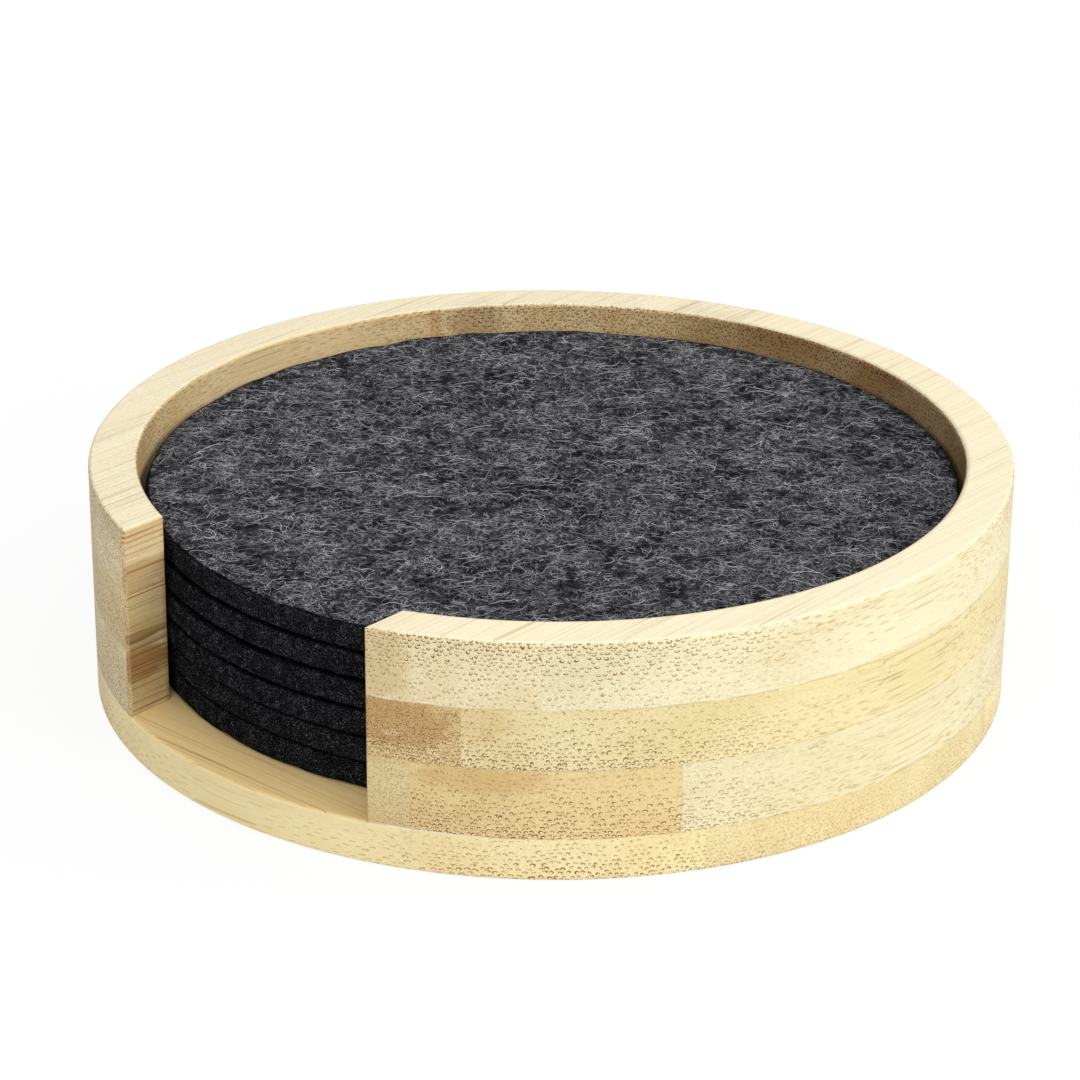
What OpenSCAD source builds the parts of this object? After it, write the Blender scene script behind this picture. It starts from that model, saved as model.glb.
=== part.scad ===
// Round coaster set: loose felt coasters in an open bamboo holder.
// The holder is glued up from bamboo strips in four layers: a base board whose fibres run
// along X, and three wall plies whose fibres run along Y, the way the slot is cut.
// Frame: +Z up, the slot faces -Y, the origin is the middle of the underside. Millimetres.

/* [Coasters] */
// Diameter of one felt coaster
coaster_d = 101.6; // [70:0.1:130]
// Thickness of one felt coaster
coaster_t = 3.5; // [2:0.1:5]
// Number of coasters in the stack
coaster_count = 6; // [1:1:8]
// Radius of the die-cut rim of a coaster
coaster_edge_r = 0.4; // [0.1:0.1:0.8]
// Gap between a centred coaster and the wall around it
coaster_play = 0.7; // [0.4:0.1:2]
// Share of that gap by which a loose coaster lies off centre
lie_share = 0.5; // [0:0.05:0.6]
// Turn from the way one coaster lies off centre to the way of the next one down, in degrees
lie_spread = 70; // [0:5:90]

/* [Holder] */
// Thickness of the round wall
wall_t = 6; // [4:0.5:10]
// Width of the finger slot through the wall
slot_w = 39.5; // [20:0.5:60]
// Radius of the sanded edges
edge_r = 0.5; // [0.2:0.1:1]
// Radius of the upright corners of the slot
corner_r = 0.3; // [0.1:0.1:1]

/* [Layers] */
// Thickness of the base board
base_t = 5.4; // [3:0.1:10]
// Thickness of the lower wall ply
lower_t = 8.7; // [5:0.1:12]
// Thickness of the middle wall ply
middle_t = 7.5; // [5:0.1:12]
// Thickness of the upper wall ply
upper_t = 8.4; // [5:0.1:12]

/* [Strips] */
// Width of the two bamboo strips beside the first seam of a layer
strip_w = 24; // [15:0.1:30]
// Width of the strip at either edge of the lower ply
edge_strip_w = 9.5; // [4:0.5:12]
// Width of the strip at the back edge of the base board
base_edge_w = 17.4; // [8:0.1:24]
// Width of the strip at the right edge of the middle ply
middle_edge_w = 27.5; // [8:0.1:32]
// Width of the strip at the left edge of the upper ply
upper_edge_w = 13.1; // [8:0.1:24]
// Where the first seam of the base board crosses Y
base_seam = -5.1; // [-12:0.1:12]
// Where the first seam of the lower ply crosses X
lower_seam = 0.7; // [-12:0.1:12]
// Where the first seam of the middle ply crosses X
middle_seam = -16.8; // [-19:0.1:12]
// Where the first seam of the upper ply crosses X
upper_seam = 13.3; // [-12:0.1:19]

/* [Hidden] */
$fn = 96;
// How far a cutting shape runs past what it cuts
past = 1;
// Flats that make up the round of a sanded edge
edge_flats = 4;

// Radii and heights
coaster_r = coaster_d / 2;
well_r = coaster_r + coaster_play;
outer_r = well_r + wall_t;
slot_half = slot_w / 2;
slot_angle = 2 * asin(slot_half / outer_r);
lower_z = base_t;
middle_z = lower_z + lower_t;
upper_z = middle_z + middle_t;
rim_z = upper_z + upper_t;

// Glue seams of one layer, in order: a strip on either side of its first seam, then the edge
// strips on its low and its high side, measured in from the rim
function seams(first, low_edges, high_edges) = concat(
    [for (w = low_edges) w - outer_r],
    [first - strip_w, first, first + strip_w],
    [for (w = high_edges) outer_r - w]
);
base_seams = seams(base_seam, [], [base_edge_w]);
lower_seams = seams(lower_seam, [edge_strip_w], [edge_strip_w]);
middle_seams = seams(middle_seam, [], [middle_edge_w]);
upper_seams = seams(upper_seam, [upper_edge_w], []);

// Both sides of strip k, counted from 1 at the low side; edge strips run past the rim
function strip_from(list, k) = k == 1 ? -outer_r - past : list[k - 2];
function strip_to(list, k) = k > len(list) ? outer_r + past : list[k - 1];

// Where coaster k lies, counted from 1 at the bottom: the top one away from the slot
function lie_angle(k) = 90 + lie_spread * (coaster_count - k);
function lie(k) = lie_share * coaster_play * [cos(lie_angle(k)), sin(lie_angle(k))];

// Names of the strips and coasters
function numbered(name, count) = [for (k = [1 : count]) str(name, "_", k)];

// What sanding takes off a square corner at the origin, with the piece at its lower left:
// the round is cut in a few flats
module corner_waste(r) {
    flats = [
        for (i = [0 : edge_flats])
            r * [cos(90 * i / edge_flats) - 1, sin(90 * i / edge_flats) - 1]
    ];
    polygon(concat(flats, [[-r, past], [past, past], [past, -r]]));
}

// Ring of waste along a round edge of radius r; out and up say which way the corner points
module round_edge_waste(r, z, ease, out, up) {
    rotate_extrude()
        translate([r, z])
            mirror([out < 0 ? 1 : 0, 0])
                mirror([0, up < 0 ? 1 : 0])
                    corner_waste(ease);
}

// Waste along the upright corner of the slot where it meets a round face of radius r
module upright_edge_waste(r, inward) {
    centre_x = slot_half + corner_r;
    centre_r = inward ? r + corner_r : r - corner_r;
    centre_y = -sqrt(centre_r ^ 2 - centre_x ^ 2);
    reach = 3 * corner_r;
    to_slot = [-reach, 0];
    to_face = (inward ? -reach : reach) * [centre_x, centre_y] / centre_r;
    translate([centre_x, centre_y, base_t]) linear_extrude(rim_z)
        difference() {
            polygon([[0, 0], to_slot, to_slot + to_face, to_face]);
            circle(corner_r);
        }
}

// Waste along the top of one side of the slot
module slot_top_waste() {
    translate([slot_half, 0, rim_z]) rotate([90, 0, 0])
        linear_extrude(outer_r + past)
            mirror([1, 0]) corner_waste(edge_r);
}

// Waste along the outer edge of the slot's floor
module slot_floor_waste() {
    rotate([0, 0, -90 - slot_angle / 2]) rotate_extrude(angle = slot_angle)
        translate([outer_r, base_t]) corner_waste(edge_r);
}

// The space of the finger slot above the floor
module slot_space() {
    translate([-slot_half, -outer_r - past, base_t])
        cube([slot_w, outer_r + past, rim_z]);
}

// The whole wall before it is told apart into plies and strips
module wall_blank() {
    difference() {
        translate([0, 0, lower_z]) cylinder(r = outer_r, h = rim_z - lower_z);
        translate([0, 0, lower_z - past]) cylinder(r = well_r, h = rim_z);
        slot_space();
        round_edge_waste(outer_r, rim_z, edge_r, 1, 1);
        round_edge_waste(well_r, rim_z, edge_r, -1, 1);
        for (side = [0, 1]) mirror([side, 0, 0]) {
            upright_edge_waste(outer_r, false);
            upright_edge_waste(well_r, true);
            slot_top_waste();
        }
    }
}

// The whole base board; its top edge is eased only where the slot leaves it open
module base_blank() {
    difference() {
        cylinder(r = outer_r, h = base_t);
        round_edge_waste(outer_r, 0, edge_r, 1, -1);
        slot_floor_waste();
    }
}

// Strip k of a wall ply that lies from height z, cut out of the wall
module ply_strip(list, k, z, thickness) {
    from = strip_from(list, k);
    intersection() {
        wall_blank();
        translate([from, -outer_r - past, z])
            cube([strip_to(list, k) - from, 2 * (outer_r + past), thickness]);
    }
}

module base_strip(k) {
    from = strip_from(base_seams, k);
    color("#dcc38c") intersection() {
        base_blank();
        translate([-outer_r - past, from, -past])
            cube([2 * (outer_r + past), strip_to(base_seams, k) - from, base_t + 2 * past]);
    }
}

module lower_ply_strip(k) {
    color("#dfc68f") ply_strip(lower_seams, k, lower_z, lower_t);
}

module middle_ply_strip(k) {
    color("#e2ca94") ply_strip(middle_seams, k, middle_z, middle_t);
}

module upper_ply_strip(k) {
    color("#e8d3a2") ply_strip(upper_seams, k, upper_z, upper_t);
}

// Coaster k of the stack, counted from 1 on the floor of the well
module felt_coaster(k) {
    color("#2b2b2e") translate([lie(k)[0], lie(k)[1], base_t + (k - 1) * coaster_t])
        difference() {
            cylinder(r = coaster_r, h = coaster_t);
            round_edge_waste(coaster_r, 0, coaster_edge_r, 1, -1);
            round_edge_waste(coaster_r, coaster_t, coaster_edge_r, 1, 1);
        }
}

for (k = [1 : len(base_seams) + 1])
    base_strip(k);
for (k = [1 : len(lower_seams) + 1])
    lower_ply_strip(k);
for (k = [1 : len(middle_seams) + 1])
    middle_ply_strip(k);
for (k = [1 : len(upper_seams) + 1])
    upper_ply_strip(k);
for (k = [1 : coaster_count])
    felt_coaster(k);
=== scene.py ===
"""Looks of a coaster set: felt coasters in a round bamboo holder.

Metres, +Z up, the finger slot faces -Y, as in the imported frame. Values marked mm are for
materials and for the felt's meshes, which are made in millimetres.
"""
import math
import random
from typing import NamedTuple

import bpy
import numpy as np
from mathutils import Matrix, Vector


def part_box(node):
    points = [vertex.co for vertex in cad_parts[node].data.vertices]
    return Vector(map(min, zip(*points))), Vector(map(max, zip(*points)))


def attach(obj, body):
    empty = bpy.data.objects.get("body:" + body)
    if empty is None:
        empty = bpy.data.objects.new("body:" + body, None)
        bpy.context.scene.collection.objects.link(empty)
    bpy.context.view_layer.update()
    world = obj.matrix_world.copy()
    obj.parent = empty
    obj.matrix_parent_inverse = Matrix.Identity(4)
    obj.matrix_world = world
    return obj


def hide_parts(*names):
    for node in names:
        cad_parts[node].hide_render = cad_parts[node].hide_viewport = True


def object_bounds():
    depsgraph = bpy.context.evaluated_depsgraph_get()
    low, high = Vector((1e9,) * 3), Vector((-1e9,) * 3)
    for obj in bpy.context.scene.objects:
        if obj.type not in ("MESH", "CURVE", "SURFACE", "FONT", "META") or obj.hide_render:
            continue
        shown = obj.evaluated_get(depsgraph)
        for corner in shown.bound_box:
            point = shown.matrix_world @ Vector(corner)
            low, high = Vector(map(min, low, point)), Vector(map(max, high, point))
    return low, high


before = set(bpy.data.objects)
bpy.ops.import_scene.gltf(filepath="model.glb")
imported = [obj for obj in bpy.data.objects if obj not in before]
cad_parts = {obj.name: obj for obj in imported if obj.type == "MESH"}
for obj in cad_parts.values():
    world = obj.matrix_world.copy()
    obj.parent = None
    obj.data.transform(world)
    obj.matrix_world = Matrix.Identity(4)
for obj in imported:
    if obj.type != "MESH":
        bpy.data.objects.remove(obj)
cad_low, cad_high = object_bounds()
scene = bpy.context.scene
scene.view_settings.view_transform = "Standard"

# Sizes read from the frame
MM = 0.001
OUTER_R = (cad_high.x - cad_low.x) / 2
RIM_Z = cad_high.z
COASTERS = sorted(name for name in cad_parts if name.startswith("felt_coaster_"))
COASTER_LOW, COASTER_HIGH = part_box(COASTERS[0])
COASTER_R = (COASTER_HIGH.x - COASTER_LOW.x) / 2
COASTER_T = COASTER_HIGH.z - COASTER_LOW.z


# Short forms for materials

# Share of a drawn line's half width that shows in full
LINE_CORE = 0.3
# Value about which noise varies
NOISE_MIDDLE = 0.5
WHITE = (1, 1, 1, 1)


def tone(code):
    """A linear colour from a hexadecimal sRGB code."""
    values = [int(code[i:i + 2], 16) / 255 for i in (0, 2, 4)]
    linear = [v / 12.92 if v <= 0.04045 else ((v + 0.055) / 1.055) ** 2.4 for v in values]
    return (*linear, 1)


class Graph:
    """Short forms for a shader's node tree: each call adds a node and returns its output."""

    def __init__(self, tree):
        self.tree = tree

    def put(self, socket, value):
        """Link a socket to an output, or set its value."""
        if isinstance(value, bpy.types.NodeSocket):
            self.tree.links.new(value, socket)
        else:
            socket.default_value = value

    def add(self, kind, values=(), output=0, **settings):
        node = self.tree.nodes.new(kind)
        for key, value in settings.items():
            setattr(node, key, value)
        for slot, value in dict(values).items():
            self.put(node.inputs[slot], value)
        return node.outputs[output]

    def math(self, operation, *values, clamp=False):
        return self.add("ShaderNodeMath", enumerate(values), operation=operation, use_clamp=clamp)

    def plus(self, a, b):
        return self.math("ADD", a, b)

    def minus(self, a, b):
        return self.math("SUBTRACT", a, b)

    def times(self, *values):
        result = values[0]
        for value in values[1:]:
            result = self.math("MULTIPLY", result, value)
        return result

    def over(self, a, b):
        return self.math("DIVIDE", a, b)

    def size(self, value):
        return self.math("ABSOLUTE", value)

    def larger(self, a, b):
        return self.math("MAXIMUM", a, b)

    def linear(self, value, factor, offset):
        return self.math("MULTIPLY_ADD", value, factor, offset)

    def between(self, value, at_0, at_1):
        """From at_0 where the value is 0 to at_1 where it is 1."""
        return self.linear(value, at_1 - at_0, at_0)

    def swing(self, value, reach):
        """From -reach where the value is 0 to reach where it is 1."""
        return self.between(value, -reach, reach)

    def invert(self, value):
        return self.minus(1, value)

    def smooth(self, value, start, end):
        """0 at start, 1 at end, eased; start may be above end."""
        values = {"Value": value, "From Min": start, "From Max": end}
        return self.add("ShaderNodeMapRange", values, interpolation_type="SMOOTHSTEP")

    def line(self, away, half, core=LINE_CORE):
        """1 on a line and 0 from half its width away."""
        return self.smooth(away, half, core * half)

    def split(self, vector):
        node = self.tree.nodes.new("ShaderNodeSeparateXYZ")
        self.put(node.inputs[0], vector)
        return node.outputs[0], node.outputs[1], node.outputs[2]

    def combine(self, x, y, z):
        return self.add("ShaderNodeCombineXYZ", enumerate((x, y, z)))

    def length2(self, x, y):
        return self.math("SQRT", self.plus(self.times(x, x), self.times(y, y)))

    def oval(self, x, y, half):
        """0 in the middle of an oval and 1 on its edge."""
        return self.length2(self.times(x, 1 / half[0]), self.times(y, 1 / half[1]))

    def noise(self, vector, detail=2, roughness=0.5, output=0):
        values = {"Vector": vector, "Scale": 1, "Detail": detail, "Roughness": roughness}
        return self.add("ShaderNodeTexNoise", values, output=output)

    def from_contour(self, noise):
        """How far noise is from the contour of its middle value."""
        return self.size(self.plus(noise, -NOISE_MIDDLE))

    def dice(self, x, y, z):
        """Four random numbers for each whole x, y and z."""
        node = self.tree.nodes.new("ShaderNodeTexWhiteNoise")
        self.put(node.inputs["Vector"], self.combine(x, y, z))
        return (*self.split(node.outputs["Color"]), node.outputs["Value"])

    def from_middle(self, place, cell, luck, jitter):
        """How far a place lies from a point near the middle of its cell, in cells."""
        return self.plus(self.minus(place, cell), self.linear(luck, jitter, -0.5 - jitter / 2))

    def mix(self, factor, a, b):
        values = {0: factor, 6: a, 7: b}
        return self.add("ShaderNodeMix", values, output=2, data_type="RGBA")

    def bump(self, height, strength, depth):
        values = {"Strength": strength, "Distance": depth, "Height": height}
        return self.add("ShaderNodeBump", values)

    def object_mm(self):
        """The place in the object's own frame, in mm."""
        node = self.tree.nodes.new("ShaderNodeTexCoord")
        values = {0: node.outputs["Object"], "Scale": 1 / MM}
        return self.add("ShaderNodeVectorMath", values, operation="SCALE")


def new_material(name):
    """A new material, its graph and its Principled shader."""
    material = bpy.data.materials.new(name)
    material.use_nodes = True
    shader = material.node_tree.nodes["Principled BSDF"]
    return material, Graph(material.node_tree), shader


# Bamboo


class Grain(NamedTuple):
    """Noise drawn out along the fibres: waves per mm across and along them, and a shift."""
    across: float
    along: float
    detail: int
    roughness: float = 0.5
    shift: float = 0


class ColourPatch(NamedTuple):
    """A patch of another colour: its middle and its reach along X, Y and Z, in mm."""
    middle: tuple
    reach: tuple
    depth: float
    code: str


# Drift of the bundles, clouds and streaks of the wood, flecks, edges of stains and painted shade,
# and worn glue
STRAY = Grain(0.1, 0.01, 1)
WANDER = Grain(0.7, 0.01, 1, shift=17)
CLOUD = Grain(0.13, 0.03, 2)
FINE = Grain(3.2, 0.05, 4, 0.65)
FLECK = Grain(5.5, 1.6, 3, 0.65, shift=9)
PATCH_EDGE = Grain(0.8, 0.3, 4, 0.6, shift=41)
GLUE_WORN = Grain(0.3, 0.3, 3, shift=83)
# Lines along the fibres and the gaps in them, coarse and fine
COARSE_THREADS = (Grain(0.8, 0.006, 2, 0.6, shift=23), Grain(0.56, 0.02, 2, shift=28))
FINE_THREADS = (Grain(2.2, 0.006, 2, 0.6, shift=61), Grain(1.54, 0.02, 2, shift=66))
FINE_THREAD_WIDTH = 1.5
FINE_THREAD_DEPTH = 0.5
# Waves per mm of the sanding lines, round the wall and up it, and their depth
SANDING_WAVES = (0.12, 4.5)
SANDING_DEPTH = 0.25

# Part of a face's normal where it turns from side grain to end grain, from streaks to cut
# bundles, and from a side to an upper face
END_GRAIN_TURN = (0.15, 0.75)
CROSS_CUT_TURN = (0.25, 0.45)
UPWARD_TURN = (0.5, 0.9)

# Fibre bundles: pitch of rows at the sparse and the dense face of a strip, in mm, and how far
# each row is set over, in columns
ROW_SPARSE = 0.8
ROW_DENSE = 0.43
ROW_STAGGER = 0.5
# Half width and half height of a bundle and of its vessels, pale with a painted highlight, on its
# dense side, in mm
BUNDLE_HALF = (0.185, 0.155)
VESSEL_HALF = (0.108, 0.088)
VESSEL_SHIFT = 0.055
VESSEL_SWAY = 0.05
# How far a bundle strays within its cell, as shares of it, and along its strip, in mm
BUNDLE_JITTER = (0.45, 0.4)
BUNDLE_STRAY = 0.9
# How far a row of bundles wanders from one bundle to the next, in mm
ROW_WANDER = 0.45
# Size and depth of a bundle by luck, and its size, depth and chance from sparse to dense face
BUNDLE_SIZE_LUCK = (0.78, 1.13)
BUNDLE_DEPTH_LUCK = (0.7, 1.1)
BUNDLE_SIZE = (0.85, 1.05)
BUNDLE_DEPTH = (0.55, 1.15)
BUNDLE_CHANCE = (0.56, 0.98)
# Width of a bundle from side grain to end grain, and how its parts fade, in half widths
BUNDLE_WIDTH = (0.75, 1.15)
SHEATH_FADE = (1, 0.7)
SHEATH_OPENS = (0.65, 1.05)
VESSEL_FADE = (1.1, 0.65)
# How strongly sheaths, with their painted pit shade, show, from side grain to end grain and from
# sides to upper faces, and the vessels' painted highlight, from the outside to the well
SHEATH_SHOWN = (0.45, 0.95)
SHEATH_SHOWN_UPWARD = (1, 0.28)
VESSEL_HIGHLIGHT_SHOWN = (0.42, 0.04)

# How clouds and streaks fade and how deep they are: clouds from upper faces to sides
CLOUD_FADE = (0.35, 0.68)
CLOUD_DEPTH = (0.1, 0.4)
FINE_DEPTH = (-0.3, 0.6)
THREAD_GAPS = (0.42, 0.62)
# Flecks: how they fade, their depth from side grain to end grain, and the most they cover
FLECK_FADE = (0.46, 0.7)
FLECK_DEPTH = (0.06, 0.36)
FLECK_MOST = 0.9
# Stains and painted shade: raggedness and fade of the edge as shares of the reach, and depth along
# the streaks
PATCH_RAGGED = 0.45
PATCH_FADE = (1.15, 0.6)
PATCH_STREAKS = (0.5, 1.4)

# Half widths of the glue lines between plies and between strips, in mm
GLUE_LINE = 0.16
SEAM_LINE = 0.09
SEAM_CORE = 0.2
GLUE_DEPTH = 0.3
SEAM_DEPTH = 0.15
GLUE_FADE = (0.4, 0.58)
# Where pale glue was left in two of the joints: place in plan, reach in all and in full, and
# heights, in mm
GLUE_LEFT = (26, -51)
GLUE_REACH = 8
GLUE_REACH_FULL = 4
GLUE_LEFT_ON = [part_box(name)[0].z / MM for name in ("lower_ply_strip_5", "upper_ply_strip_4")]
GLUE_LEFT_DEPTH = (0.2, 0.85)
# A face this near to the outside of the holder is no joint, and heights this near are one, in mm
OUTSIDE = 1
SAME_HEIGHT = 0.1
FAR_OFF = 1000
# Radius within which the well's wall takes its darker colour, its own amber and at the back painted
# shade, how sharply, in mm, and its clouds
WELL_R = 52.3
WELL_BLEND = 0.5
WELL_CLOUD = (0.9, 1.1)

# Colour of sheaths and flecks; on the sheaths' crescents it is partly painted shade of the pits
BAMBOO_BUNDLE = tone("7a5010")
BAMBOO_GOLD = tone("b8903a")
# Colour of the vessels: partly their own paleness, mostly a painted highlight on the bundles' cores
BAMBOO_VESSEL_HIGHLIGHT = tone("fff4d4")
BAMBOO_WELL_BUNDLE = tone("3a220a")
GLUE_PALE = tone("f1e8d2")
GLUE_DARK = tone("a08050")
BAMBOO_ROUGHNESS = (0.45, 0.65)
BAMBOO_SPECULAR = 0.3
# Heights of streaks, flecks and bundles in the relief, its strength, and its depth in mm
RELIEF_FINE = 0.3
RELIEF_FLECK = 0.25
RELIEF_BUNDLE = -1
RELIEF_STRENGTH = 0.25
RELIEF_DEPTH = 0.015
# Seed step from one layer to the next by the length of its name, and how far noise is shifted
LAYER_SEED = 100
SHIFT_MOST = 50


class Strip:
    """One bamboo strip: corners of its box in mm, the way of its fibres, and its look."""

    def __init__(self, name, look, seed):
        self.name = name
        self.low, self.high = (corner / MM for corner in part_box(name))
        self.fibre_along_y = look["fibre"] == "Y"
        self.dense_up = look["dense_up"]
        self.pitch = look["pitch"]
        self.bundles = look["bundles"]
        self.speckle = look["speckle"]
        self.line = look["line"]
        self.threads = look["threads"]
        self.top_threads = look["top_threads"]
        self.top_share = look["top_share"]
        self.well_share = look["well_share"]
        self.stains = look["stains"]
        self.pale = tone(look["pale"])
        self.deep = tone(look["deep"])
        self.thread = tone(look["thread"])
        self.top = tone(look["top"])
        self.well = tone(look["well"])
        dice = random.Random(seed)
        self.shift = [dice.uniform(-SHIFT_MOST, SHIFT_MOST) for _ in range(3)]

    def sides(self):
        """Both sides across the fibres; a side on the rim is no joint and lies far off."""
        axis = 0 if self.fibre_along_y else 1
        reach = OUTER_R / MM - OUTSIDE
        low, high = self.low[axis], self.high[axis]
        return (low if low > -reach else -FAR_OFF, high if high < reach else FAR_OFF)


class Bamboo:
    """The node graph of one strip's bamboo."""

    def __init__(self, strip):
        self.strip = strip
        self.material, self.g, self.shader = new_material("bamboo_" + strip.name)
        g = self.g
        self.place = g.split(g.object_mm())
        self.x, self.y, self.z = self.place
        facing = g.split(g.tree.nodes.new("ShaderNodeTexCoord").outputs["Normal"])
        self.across, self.along = (self.x, self.y) if strip.fibre_along_y else (self.y, self.x)
        along_normal = g.size(facing[1] if strip.fibre_along_y else facing[0])
        self.end_grain = g.smooth(along_normal, *END_GRAIN_TURN)
        self.cross_cut = g.smooth(along_normal, *CROSS_CUT_TURN)
        self.upward = g.smooth(facing[2], *UPWARD_TURN)
        self.aside = g.invert(self.upward)
        self.cloud = g.smooth(self.grain(CLOUD), *CLOUD_FADE)
        self.fine = self.grain(FINE)
        from_axis = g.length2(self.x, self.y)
        self.bare = g.smooth(from_axis, WELL_R, WELL_R - WELL_BLEND)

    def grain(self, kind, output=0):
        """Noise drawn out along the fibres."""
        g, shift = self.g, self.strip.shift
        place = g.combine(
            g.linear(self.across, kind.across, shift[0] + kind.shift),
            g.linear(self.z, kind.across, shift[1]),
            g.linear(self.along, kind.along, shift[2]),
        )
        return g.noise(place, kind.detail, kind.roughness, output)

    def bundle_rows(self):
        """The place across the strip, its share of the way to the dense face, and rows there."""
        g, strip = self.g, self.strip
        stray_u, stray_v, _ = g.split(self.grain(STRAY, output=1))
        u = g.plus(self.across, g.swing(stray_u, BUNDLE_STRAY))
        v = g.plus(self.z, g.swing(stray_v, BUNDLE_STRAY))
        v = g.plus(v, g.swing(self.grain(WANDER), ROW_WANDER))
        height = strip.high.z - strip.low.z
        sparse_z, way = (strip.low.z, 1) if strip.dense_up else (strip.high.z, -1)
        share = g.times(g.minus(v, sparse_z), way / height)
        gain = 1 / ROW_DENSE - 1 / ROW_SPARSE
        per_mm = g.linear(share, gain, 1 / ROW_SPARSE)
        rows = g.times(share, g.linear(share, gain / 2, 1 / ROW_SPARSE), height)
        return u, share, per_mm, rows

    def bundles(self):
        """Dark sheaths and pale vessels of the fibre bundles, one bundle to a cell; the sheaths'
        crescents carry painted pit shade, the vessels a painted highlight.
        """
        g, strip = self.g, self.strip
        u, share, per_mm, rows = self.bundle_rows()
        row = g.math("FLOOR", rows)
        columns = g.linear(u, 1 / strip.pitch, strip.shift[0])
        columns = g.plus(columns, g.times(row, ROW_STAGGER))
        column = g.math("FLOOR", columns)
        luck_u, luck_v, luck_size, luck = g.dice(column, row, strip.shift[1])
        from_u = g.from_middle(columns, column, luck_u, BUNDLE_JITTER[0])
        from_v = g.from_middle(rows, row, luck_v, BUNDLE_JITTER[1])

        size = g.times(g.between(luck_size, *BUNDLE_SIZE_LUCK), g.between(share, *BUNDLE_SIZE))
        off_u = g.over(g.times(from_u, strip.pitch), size)
        off_v = g.over(from_v, g.times(per_mm, size))
        whole = g.oval(off_u, off_v, BUNDLE_HALF)
        whole = g.over(whole, g.between(self.cross_cut, *BUNDLE_WIDTH))
        vessel_u = g.plus(off_u, g.swing(luck_v, VESSEL_SWAY))
        vessel = g.oval(vessel_u, g.plus(off_v, -VESSEL_SHIFT), VESSEL_HALF)

        there = g.math("GREATER_THAN", g.between(share, *BUNDLE_CHANCE), luck)
        depth = g.times(g.between(share, *BUNDLE_DEPTH), g.between(luck_size, *BUNDLE_DEPTH_LUCK))
        depth = g.times(there, depth, strip.bundles)
        # The dark crescent is the sheath with painted shade of its pit; the bright vessel is partly
        # a painted highlight
        crescent = g.larger(g.smooth(vessel, *SHEATH_OPENS), g.invert(self.cross_cut))
        sheath_and_shade = g.times(g.smooth(whole, *SHEATH_FADE), crescent)
        dark = g.math("MULTIPLY", sheath_and_shade, depth, clamp=True)
        bright = g.times(g.smooth(vessel, *VESSEL_FADE), depth)
        return dark, bright

    def sanding(self):
        """Faint lines round the wall, as left by sanding."""
        g = self.g
        per_mm_around, per_mm_up = SANDING_WAVES
        around = g.times(g.math("ARCTAN2", self.y, self.x), OUTER_R / MM)
        place = g.times(around, per_mm_around), g.times(self.z, per_mm_up), self.strip.shift[0]
        return g.noise(g.combine(*place))

    def wood(self):
        """Plain wood: cloudy, streaked along the fibres, sanded, and darker in the well: its own
        amber, with painted shade on the back wall.
        """
        g, strip = self.g, self.strip
        patches = g.times(self.cloud, g.between(self.aside, *CLOUD_DEPTH))
        body = g.math("ADD", patches, g.between(self.fine, *FINE_DEPTH), clamp=True)
        scratches = g.times(g.swing(self.sanding(), SANDING_DEPTH), self.aside)
        body = g.math("ADD", body, scratches, clamp=True)
        colour = g.mix(body, strip.pale, strip.deep)
        # The well's colour: its own amber, and on the back wall painted shade
        inside = g.times(self.bare, g.between(self.cloud, *WELL_CLOUD), strip.well_share)
        return g.mix(inside, colour, strip.well)

    def patched(self, colour, spot):
        """A patch of another colour with a ragged edge."""
        g = self.g
        parts = zip(self.place, spot.middle, spot.reach)
        spread = [g.times(g.plus(place, -middle), 1 / reach) for place, middle, reach in parts]
        squares = [g.times(s, s) for s in spread]
        far = g.math("SQRT", g.plus(g.plus(squares[0], squares[1]), squares[2]))
        ragged = g.plus(far, g.swing(self.grain(PATCH_EDGE), PATCH_RAGGED))
        patch = g.times(g.smooth(ragged, *PATCH_FADE), g.between(self.fine, *PATCH_STREAKS))
        return g.mix(g.math("MULTIPLY", patch, spot.depth, clamp=True), colour, tone(spot.code))

    def thread(self, kinds, width):
        """Thin lines along the fibres, strong and faint, where the grain is cut lengthwise."""
        g = self.g
        lines, gaps = (self.grain(kind) for kind in kinds)
        some = g.smooth(gaps, *THREAD_GAPS)
        level = g.from_contour(lines)
        return g.times(g.line(level, width), some, g.invert(self.end_grain))

    def threaded(self, colour):
        """Lines along the fibres, with their own depth on upper faces."""
        g, strip = self.g, self.strip
        coarse = self.thread(COARSE_THREADS, strip.line)
        fine = self.thread(FINE_THREADS, FINE_THREAD_WIDTH * strip.line)
        lines = g.larger(coarse, g.times(fine, FINE_THREAD_DEPTH))
        depth = g.between(self.upward, strip.threads, strip.top_threads)
        return g.mix(g.math("MULTIPLY", lines, depth, clamp=True), colour, strip.thread)

    def flecked(self, colour, fleck):
        """Small dark flecks, most of all on end grain."""
        g = self.g
        depth = g.between(self.end_grain, *FLECK_DEPTH)
        rough = g.times(g.smooth(fleck, *FLECK_FADE), depth, self.strip.speckle)
        return g.mix(g.math("MINIMUM", rough, FLECK_MOST), colour, BAMBOO_BUNDLE)

    def bundled(self, colour, dark, bright):
        """Sheaths and vessels: brown on end grain, golden on side grain, darkest in the well; the
        sheaths carry painted pit shade, the vessels a painted highlight.
        """
        g = self.g
        sheath_and_shade = g.mix(self.end_grain, BAMBOO_GOLD, BAMBOO_BUNDLE)
        sheath_and_shade = g.mix(self.bare, sheath_and_shade, BAMBOO_WELL_BUNDLE)
        shown = g.between(self.end_grain, *SHEATH_SHOWN)
        shown = g.times(shown, g.between(self.upward, *SHEATH_SHOWN_UPWARD))
        colour = g.mix(g.times(dark, shown), colour, sheath_and_shade)
        # Painted highlight on the vessels, faint in the well
        vessel_highlight = g.times(bright, self.cross_cut, g.between(self.bare, *VESSEL_HIGHLIGHT_SHOWN))
        return g.mix(vessel_highlight, colour, BAMBOO_VESSEL_HIGHLIGHT)

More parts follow.
